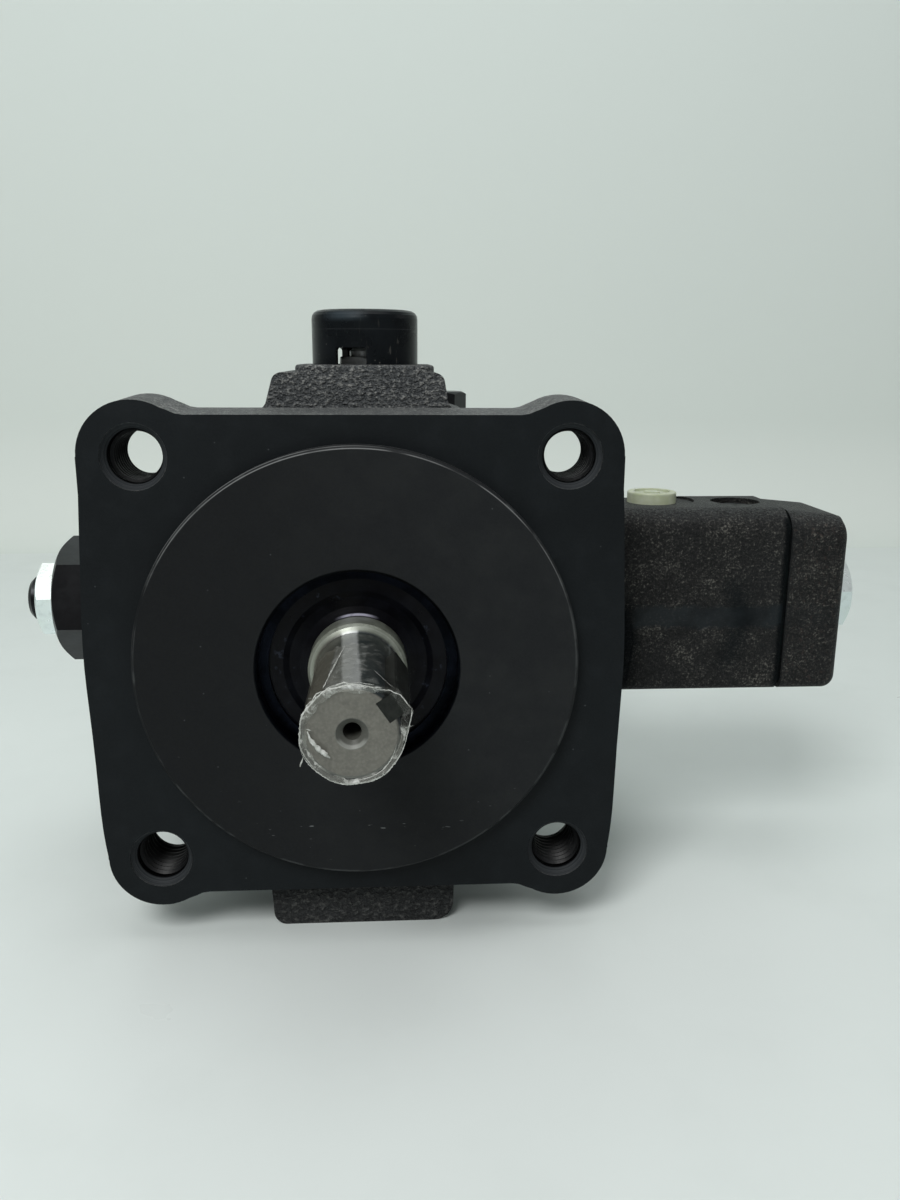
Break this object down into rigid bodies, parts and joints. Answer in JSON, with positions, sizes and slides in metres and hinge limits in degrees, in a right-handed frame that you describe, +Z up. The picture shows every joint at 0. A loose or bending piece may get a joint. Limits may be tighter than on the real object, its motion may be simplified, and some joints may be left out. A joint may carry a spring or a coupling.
{
  "type": "hydraulic vane pump",
  "caption": "Variable displacement hydraulic vane pump: square flange with spigot, keyed shaft, side control block, adjusting screws with lock nuts and a capped thrust screw.",
  "frame": {"origin": "shaft axis at the mounting face of the flange", "axes": "+Z up, the shaft points to -Y, the control block is on +X"},
  "size_m": [0.2248, 0.1492, 0.1512],
  "materials": {
    "cast_iron_black": "rough sand-cast, black coated, machined faces smoother",
    "black_oxide": "black oxide, satin",
    "zinc": "bright zinc plate, slightly mottled",
    "ground_steel": "ground and turned steel",
    "bearing_steel": "polished bearing steel",
    "bronze": "bearing bronze",
    "rubber_black": "matt black rubber",
    "gasket_black": "black gasket board",
    "plastic_black": "satin moulded plastic",
    "plastic_clear": "pale yellow-green translucent plastic"
  },
  "bodies": {
    "housing": {"front_housing": "cast_iron_black", "rear_cover": "cast_iron_black", "cover_screws": "black_oxide", "cover_o_ring": "rubber_black", "cover_plug": "black_oxide", "front_port_plate": "bronze", "rear_port_plate": "bronze", "bearing_outer_ring": "bearing_steel", "rear_bush": "bronze", "shaft_seal": "rubber_black", "seal_spring": "ground_steel", "bearing_retaining_ring": "black_oxide", "control_block": "cast_iron_black", "end_cap": "cast_iron_black", "block_gasket": "gasket_black", "end_cap_gasket": "gasket_black", "control_screws": "black_oxide", "gallery_plug": "black_oxide", "volume_plug": "black_oxide", "volume_plug_washer": "zinc", "pressure_spring": "ground_steel"},
    "shaft": {"drive_shaft": "ground_steel", "shaft_key": "ground_steel", "rotor": "ground_steel", "bearing_inner_ring": "bearing_steel", "shaft_snap_ring": "black_oxide"},
    "ball_set": {"bearing_balls": "bearing_steel", "bearing_cage": "bronze"},
    "ring": {"cam_ring": "ground_steel"},
    "piston": {"control_piston": "ground_steel"},
    "pressure_seat": {"spring_seat": "ground_steel"},
    "pressure_screw": {"pressure_screw": "black_oxide"},
    "pressure_washer": {"pressure_washer": "zinc"},
    "pressure_nut": {"pressure_lock_nut": "zinc"},
    "volume_pusher": {"volume_pusher": "ground_steel"},
    "volume_screw": {"volume_screw": "black_oxide"},
    "volume_washer": {"volume_washer": "zinc"},
    "volume_nut": {"volume_lock_nut": "zinc"},
    "thrust_block": {"thrust_block": "ground_steel"},
    "thrust_screw": {"thrust_screw": "zinc"},
    "thrust_washer": {"thrust_washer": "zinc"},
    "thrust_nut": {"thrust_lock_nut": "zinc"},
    "thrust_cap": {"thrust_cap": "plastic_black"},
    "drain_plug": {"shipping_plug": "plastic_clear"},
    "vane_01": {"vane_01": "ground_steel"},
    "vane_02": {"vane_02": "ground_steel"},
    "vane_03": {"vane_03": "ground_steel"},
    "vane_04": {"vane_04": "ground_steel"},
    "vane_05": {"vane_05": "ground_steel"},
    "vane_06": {"vane_06": "ground_steel"},
    "vane_07": {"vane_07": "ground_steel"},
    "vane_08": {"vane_08": "ground_steel"},
    "vane_09": {"vane_09": "ground_steel"},
    "vane_10": {"vane_10": "ground_steel"},
    "vane_11": {"vane_11": "ground_steel"}
  },
  "joints": [
    {"name": "shaft_spin", "type": "hinge", "parent": "housing", "child": "shaft", "pos_m": [0, 0, 0], "axis": [0, -1, 0], "continuous": true},
    {"name": "ball_cage_spin", "type": "hinge", "parent": "housing", "child": "ball_set", "pos_m": [0, 0.022, 0], "axis": [0, -1, 0], "continuous": true},
    {"name": "ring_stroke", "type": "slide", "parent": "housing", "child": "ring", "axis": [1, 0, 0], "range_m": [0, 0.003], "stiffness_N_per_m": 4000, "springref_m": -0.005},
    {"name": "piston_stroke", "type": "slide", "parent": "housing", "child": "piston", "axis": [1, 0, 0], "range_m": [0, 0.003], "deforming": ["pressure_spring"]},
    {"name": "spring_seat_travel", "type": "slide", "parent": "housing", "child": "pressure_seat", "axis": [-1, 0, 0], "range_m": [-0.003, 0.0045], "deforming": ["pressure_spring"]},
    {"name": "pressure_screw_turn", "type": "hinge", "parent": "pressure_seat", "child": "pressure_screw", "pos_m": [0.12, 0.049, 0.005], "axis": [-1, 0, 0], "range_deg": [-723.5, 1083.5]},
    {"name": "pressure_washer_travel", "type": "slide", "parent": "housing", "child": "pressure_washer", "axis": [-1, 0, 0], "range_m": [-0.0015, 0]},
    {"name": "pressure_nut_turn", "type": "hinge", "parent": "pressure_washer", "child": "pressure_nut", "pos_m": [0.132, 0.049, 0.005], "axis": [-1, 0, 0], "range_deg": [-363.5, 0]},
    {"name": "volume_pusher_travel", "type": "slide", "parent": "housing", "child": "volume_pusher", "axis": [1, 0, 0], "range_m": [-0.0015, 0.003]},
    {"name": "volume_screw_turn", "type": "hinge", "parent": "volume_pusher", "child": "volume_screw", "pos_m": [-0.07, 0.049, 0.005], "axis": [1, 0, 0], "range_deg": [-363.5, 723.5]},
    {"name": "volume_washer_travel", "type": "slide", "parent": "housing", "child": "volume_washer", "axis": [1, 0, 0], "range_m": [-0.0015, 0]},
    {"name": "volume_nut_turn", "type": "hinge", "parent": "volume_washer", "child": "volume_nut", "pos_m": [-0.083, 0.049, 0.005], "axis": [1, 0, 0], "range_deg": [-363.5, 0]},
    {"name": "thrust_block_travel", "type": "slide", "parent": "housing", "child": "thrust_block", "axis": [0, 0, -1], "range_m": [-0.00125, 0]},
    {"name": "thrust_screw_turn", "type": "hinge", "parent": "thrust_block", "child": "thrust_screw", "pos_m": [0.0016, 0.049, 0.06], "axis": [0, 0, -1], "range_deg": [-363.5, 0]},
    {"name": "thrust_washer_travel", "type": "slide", "parent": "housing", "child": "thrust_washer", "axis": [0, 0, -1], "range_m": [-0.00125, 0]},
    {"name": "thrust_nut_turn", "type": "hinge", "parent": "thrust_washer", "child": "thrust_nut", "pos_m": [0.0016, 0.049, 0.066], "axis": [0, 0, -1], "range_deg": [-363.5, 0]},
    {"name": "thrust_cap_lift", "type": "slide", "parent": "housing", "child": "thrust_cap", "axis": [0, 0, 1], "range_m": [0, 0.03]},
    {"name": "shipping_plug_pull", "type": "slide", "parent": "housing", "child": "drain_plug", "axis": [0, 0, 1], "range_m": [0, 0.015]},
    {"name": "vane_01_stroke", "type": "slide", "parent": "shaft", "child": "vane_01", "axis": [1, 0, 0], "range_m": [0, 0.000451]},
    {"name": "vane_02_stroke", "type": "slide", "parent": "shaft", "child": "vane_02", "axis": [0.8413, 0, 0.5406], "range_m": [0, 0.000884]},
    {"name": "vane_03_stroke", "type": "slide", "parent": "shaft", "child": "vane_03", "axis": [0.4154, 0, 0.9096], "range_m": [0, 0.00208]},
    {"name": "vane_04_stroke", "type": "slide", "parent": "shaft", "child": "vane_04", "axis": [-0.1423, 0, 0.9898], "range_m": [0, 0.00345]},
    {"name": "vane_05_stroke", "type": "slide", "parent": "shaft", "child": "vane_05", "axis": [-0.6549, 0, 0.7557], "range_m": [0, 0.00345]},
    {"name": "vane_06_stroke", "type": "slide", "parent": "shaft", "child": "vane_06", "axis": [-0.9595, 0, 0.2817], "range_m": [0, 0.00345]},
    {"name": "vane_07_stroke", "type": "slide", "parent": "shaft", "child": "vane_07", "axis": [-0.9595, 0, -0.2817], "range_m": [0, 0.00345]},
    {"name": "vane_08_stroke", "type": "slide", "parent": "shaft", "child": "vane_08", "axis": [-0.6549, 0, -0.7557], "range_m": [0, 0.00345]},
    {"name": "vane_09_stroke", "type": "slide", "parent": "shaft", "child": "vane_09", "axis": [-0.1423, 0, -0.9898], "range_m": [0, 0.00345]},
    {"name": "vane_10_stroke", "type": "slide", "parent": "shaft", "child": "vane_10", "axis": [0.4154, 0, -0.9096], "range_m": [0, 0.00208]},
    {"name": "vane_11_stroke", "type": "slide", "parent": "shaft", "child": "vane_11", "axis": [0.8413, 0, -0.5406], "range_m": [0, 0.000884]}
  ],
  "couplings": [
    {"joint": "ball_cage_spin", "follows": "shaft_spin", "ratio": 0.3974},
    {"joint": "piston_stroke", "follows": "ring_stroke", "ratio": 1},
    {"joint": "pressure_screw_turn", "follows": "spring_seat_travel", "rad_per_m": 4188.8},
    {"joint": "pressure_nut_turn", "follows": "pressure_washer_travel", "rad_per_m": 4188.8},
    {"joint": "volume_screw_turn", "follows": "volume_pusher_travel", "rad_per_m": 4188.8},
    {"joint": "volume_nut_turn", "follows": "volume_washer_travel", "rad_per_m": 4188.8},
    {"joint": "thrust_screw_turn", "follows": "thrust_block_travel", "rad_per_m": 5026.5},
    {"joint": "thrust_nut_turn", "follows": "thrust_washer_travel", "rad_per_m": 5026.5}
  ]
}
